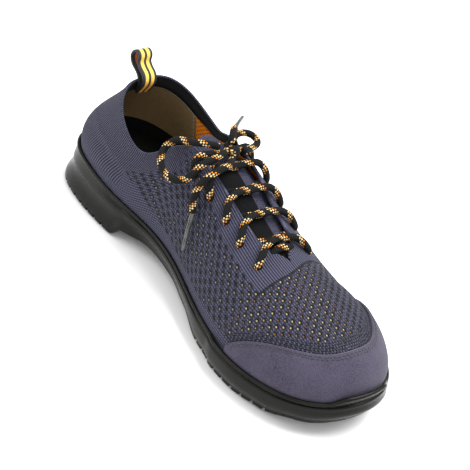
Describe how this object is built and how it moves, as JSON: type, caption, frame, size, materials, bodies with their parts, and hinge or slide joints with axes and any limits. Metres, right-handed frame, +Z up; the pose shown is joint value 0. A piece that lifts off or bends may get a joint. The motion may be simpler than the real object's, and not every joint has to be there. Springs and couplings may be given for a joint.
{
  "type": "safety sneaker",
  "caption": "Low lace-up safety shoe: hollow knitted upper with a suede toe cap and a heel pull loop, on a moulded sole with rim lugs.",
  "frame": {"origin": "on the floor, at the middle of the heel's flat tread", "axes": "+X to the toe, +Y to the wearer's left (the outer side), +Z up"},
  "size_m": [0.3003, 0.1112, 0.1051],
  "materials": {
    "sole": "satin moulded polyurethane",
    "knit": "matte knit",
    "suede": "suede nap",
    "footbed": "matte",
    "ribbon": "woven",
    "lace": "braided",
    "aglet": "clear film over the lace"
  },
  "bodies": {
    "root": {"sole": "sole", "upper": "knit", "toe_cap": "suede", "tongue": "knit", "insole": "footbed", "pull_loop": "ribbon", "lace_base_bar": "lace", "lace_crossings": "lace", "lace_knot": "lace", "lace_loop_near": "lace", "lace_loop_far": "lace", "lace_end_up": "lace", "lace_end_down": "lace", "aglet_up": "aglet", "aglet_down": "aglet"}
  },
  "joints": []
}
